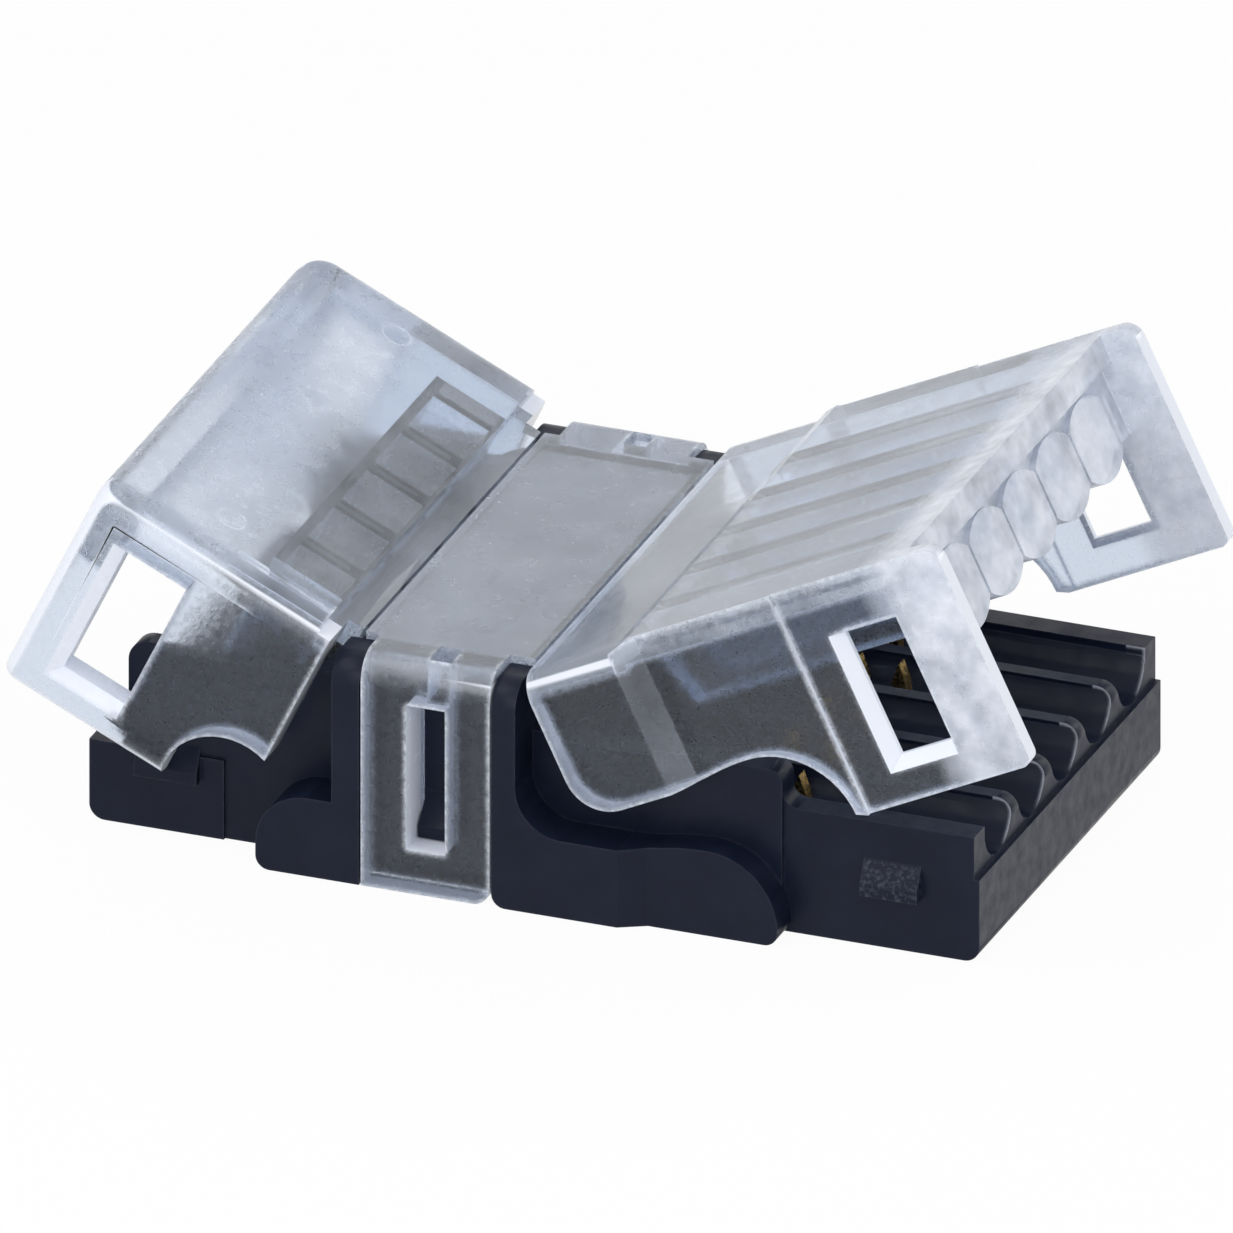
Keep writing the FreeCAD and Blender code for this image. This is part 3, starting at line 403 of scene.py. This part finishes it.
def uneven_gloss(material, at, etched, polished):
    """The roughness: etched is its range on the plate. The side faces have a range of their own."""
    plate = spread(material, grain(material, at["places"], ETCHED_GRAIN, ETCHED_DETAIL), *etched)
    if polished:
        plate = both(material, plate, spread(material, at["outward"], POLISHED_SHARE, 1, *BLOCK_END))
    sides = spread(material, grain(material, at["places"], SIDE_GRAIN), *SIDE_ROUGHNESS)
    return blend(material, at["side_face"], plate, sides, "FLOAT")


HAZE_GRAIN = 2.4 * MM
SHOULDER_HAZE = (0.01, 0.30)
SHOULDER_DEPTH = 0.9 * MM
SHOULDER_GRAIN = 0.22 * MM
SHOULDER_PATCHES = (0.5, 1.5)
FROST_FADE = 1.2 * MM
FROST_GRAIN = 0.9 * MM
FROST_DETAIL = 2.0
FROST_SHARE = (0.48, 0.86)


def haze_share(material, at, plate_top, haze, frosted_from):
    """How milky the faces are: the plate by haze, the side faces by how close they lie to its top."""
    shoulder = spread(material, at["above"], *SHOULDER_HAZE, plate_top - SHOULDER_DEPTH, plate_top)
    patches = spread(material, grain(material, at["places"], SHOULDER_GRAIN), *SHOULDER_PATCHES)
    plate = spread(material, grain(material, at["places"], HAZE_GRAIN), *haze)
    share = blend(material, at["side_face"], plate, both(material, shoulder, patches), "FLOAT")
    if frosted_from is not None:
        free_end = spread(material, at["outward"], 0, 1, frosted_from, frosted_from + FROST_FADE)
        frost = spread(material, grain(material, at["places"], FROST_GRAIN, FROST_DETAIL), *FROST_SHARE)
        share = either(material, share, both(material, free_end, frost))
    return share


PIN_MARK_RADIUS = 0.42 * MM
PIN_MARK_LINE = 0.06 * MM
PIN_MARK_SHARE = 0.6


def pin_marks(material, at, mark):
    """Fine rings that the mould's ejector pins leave, one on each side, at mark's distances."""
    place = shader_node(material, "ShaderNodeCombineXYZ", X=at["outward"], Y=at["across"], Z=at["above"])
    apart = measured(material, "DISTANCE", place.outputs[0], mark)
    off_line = unsigned(material, work_out(material, "SUBTRACT", apart, PIN_MARK_RADIUS))
    return spread(material, off_line, PIN_MARK_SHARE, 0, 0, PIN_MARK_LINE)


SKIRT_INSIDE = 7.15 * MM
RIM_TOP = 0.35 * MM
RIM_FADE = 0.05 * MM
EDGE_BAND = 0.32 * MM
RAGGED_GRAIN = 0.18 * MM
RAGGED_SHARE = (0.4, 1.0)


def edge_light(material, at, plate_top, inner_bands):
    """White bands where light that runs inside the plastic comes out: at edges, rims and windows."""
    in_skirt = beyond(material, at["across"], SKIRT_INSIDE)
    below_top = up_to(material, at["above"], plate_top - RIM_TOP, RIM_FADE)
    cut_across = both(material, below_top, spread(material, at["sideways"], 1, 0, *CUT_FACE))
    rim = both(material, in_skirt, cut_across)
    far_band, near_band = inner_bands
    inner = spread(material, at["outward"], near_band, far_band, *BLOCK_END)
    band = both(material, edge_band(material, EDGE_BAND), either(material, in_skirt, inner))
    ragged = spread(material, grain(material, at["places"], RAGGED_GRAIN), *RAGGED_SHARE)
    return either(material, both(material, band, ragged), rim)


PAD_PITCH = 2.5 * MM
SLOT_HALF = 0.10 * MM
SLOT_ENDS = (1.4 * MM, 3.1 * MM)
SLOT_TOP = -1.3 * MM


def slot_shadow(material, at):
    """1 on the walls of the press block's narrow slots, where little light gets in, and 0 elsewhere."""
    repeated = work_out(material, "MODULO", at["across"], PAD_PITCH)
    off_middle = unsigned(material, work_out(material, "SUBTRACT", repeated, PAD_PITCH / 2))
    in_slot = both(material, up_to(material, off_middle, SLOT_HALF), up_to(material, at["above"], SLOT_TOP))
    slot_start, slot_end = SLOT_ENDS
    in_length = both(material, beyond(material, at["outward"], slot_start),
                     up_to(material, at["outward"], slot_end))
    return both(material, in_slot, in_length)


RIBS_HALF = 5.9 * MM
RIBS_END = 9.6 * MM
RIB_ROOT = -0.62 * MM
RIB_SHADE = 0.45 * MM
RIB_SHADE_SHARE = 0.75


def rib_shadow(material, at):
    """Up to RIB_SHADE_SHARE on the sides of the wire lid's ribs, close below its plate, and 0 elsewhere."""
    side = both(material, spread(material, at["sideways"], 0, RIB_SHADE_SHARE, *CUT_FACE),
                up_to(material, at["across"], RIBS_HALF))
    close = spread(material, at["above"], 0, 1, RIB_ROOT - RIB_SHADE, RIB_ROOT)
    return both(material, both(material, side, close),
                up_to(material, at["outward"], RIBS_END, RIB_SHADE))


CLEAR_TINT = (0.68, 0.75, 0.86, 1)
WHITE_TINT = (0.87, 0.91, 1.0, 1)
SHADOW_TINT = (0.04, 0.05, 0.07, 1)
CLEAR_SKIN_GRAIN = 0.16 * MM
CLEAR_SKIN_DEPTH = 0.01 * MM
CLEAR_SKIN_STRENGTH = (0.10, 0.6)
CLEAR_IOR = 1.45


def clear_plastic(name, hinge, away, plate_top, haze, etched, inner_bands, mark=None, shadow=None,
                  frosted_from=None, polished=False):
    """Clear plastic for a plate that runs away from its hinge line, with its top plate_top above that line.

    haze, etched and inner_bands are the least and most of the milkiness, of the roughness of the plate
    and of the painted white bands of light inside the skirts, the bands far from the hinge and near it.
    shadow gives the places where shade is painted dark. polished is set for the plate over the press
    block, so that the block's pockets and slots show through.
    """
    material = empty_material(name)
    at = measures(material, hinge, away)
    milk_and_light = haze_share(material, at, plate_top, haze, frosted_from)
    if mark is not None:
        milk_and_light = either(material, milk_and_light, pin_marks(material, at, mark))
    # Painted light: the white bands at edges, rims and windows go into the milky share with the real haze.
    milk_and_light = either(material, milk_and_light, edge_light(material, at, plate_top, inner_bands))
    clear_share = spread(material, milk_and_light, 1, 0, 0, 1)
    colour = blend(material, milk_and_light, CLEAR_TINT, WHITE_TINT)
    if shadow is not None:
        dark = shadow(material, at)
        clear_share = both(material, clear_share, spread(material, dark, 1, 0, 0, 1))
        colour = blend(material, dark, colour, SHADOW_TINT)

    skin = shader_node(material, "ShaderNodeBump", Distance=CLEAR_SKIN_DEPTH,
                       Strength=spread(material, at["side_face"], *CLEAR_SKIN_STRENGTH, 0, 1),
                       Height=grain(material, at["places"], CLEAR_SKIN_GRAIN))
    surface = shader_node(material, "ShaderNodeBsdfPrincipled", IOR=CLEAR_IOR, Base_Color=colour,
                          Roughness=uneven_gloss(material, at, etched, polished),
                          Transmission_Weight=clear_share, Normal=skin.outputs["Normal"])
    return covered_with(material, surface)


# Both lids stand open by LID_TILT. The pin marks are measured outward, across and above the hinge line.
LID_TILT = math.radians(25.6)
STRIP_HINGE = Vector((-4.9, 0, 6.85)) * MM
WIRE_HINGE = Vector((0.1, 0, 6.85)) * MM
LEVEL = Vector((1, 0, 0))
TOWARDS_STRIP = Vector((-math.cos(LID_TILT), 0, math.sin(LID_TILT)))
TOWARDS_WIRES = Vector((math.cos(LID_TILT), 0, math.sin(LID_TILT)))
STRIP_PLATE_TOP = 0.45 * MM
WIRE_PLATE_TOP = 0.15 * MM
STRIP_PIN_MARK = Vector((4.7, 6.2, 0.45)) * MM
WIRE_PIN_MARK = Vector((12.5, 7.7, -3.45)) * MM
FROSTED_FROM = 10.4 * MM

cover_clear = clear_plastic("clear_cover", STRIP_HINGE, LEVEL, plate_top=0, haze=(0.20, 0.32),
                            etched=(0.1, 0.3), inner_bands=(0.5, 0.5))
strip_clear = clear_plastic("clear_strip_lid", STRIP_HINGE, TOWARDS_STRIP, STRIP_PLATE_TOP,
                            haze=(0.08, 0.24), etched=(0.16, 0.42), inner_bands=(0.35, 0.25),
                            mark=STRIP_PIN_MARK, shadow=slot_shadow, polished=True)
wire_clear = clear_plastic("clear_wire_lid", WIRE_HINGE, TOWARDS_WIRES, WIRE_PLATE_TOP,
                           haze=(0.08, 0.24), etched=(0.03, 0.18), inner_bands=(0.35, 0.8),
                           mark=WIRE_PIN_MARK, shadow=rib_shadow, frosted_from=FROSTED_FROM)
soften_edges(dress("centre_cover", cover_clear), CLEAR_EDGE)
soften_edges(dress("strip_lid", strip_clear), CLEAR_EDGE)
soften_edges(dress("wire_lid", wire_clear), CLEAR_EDGE)
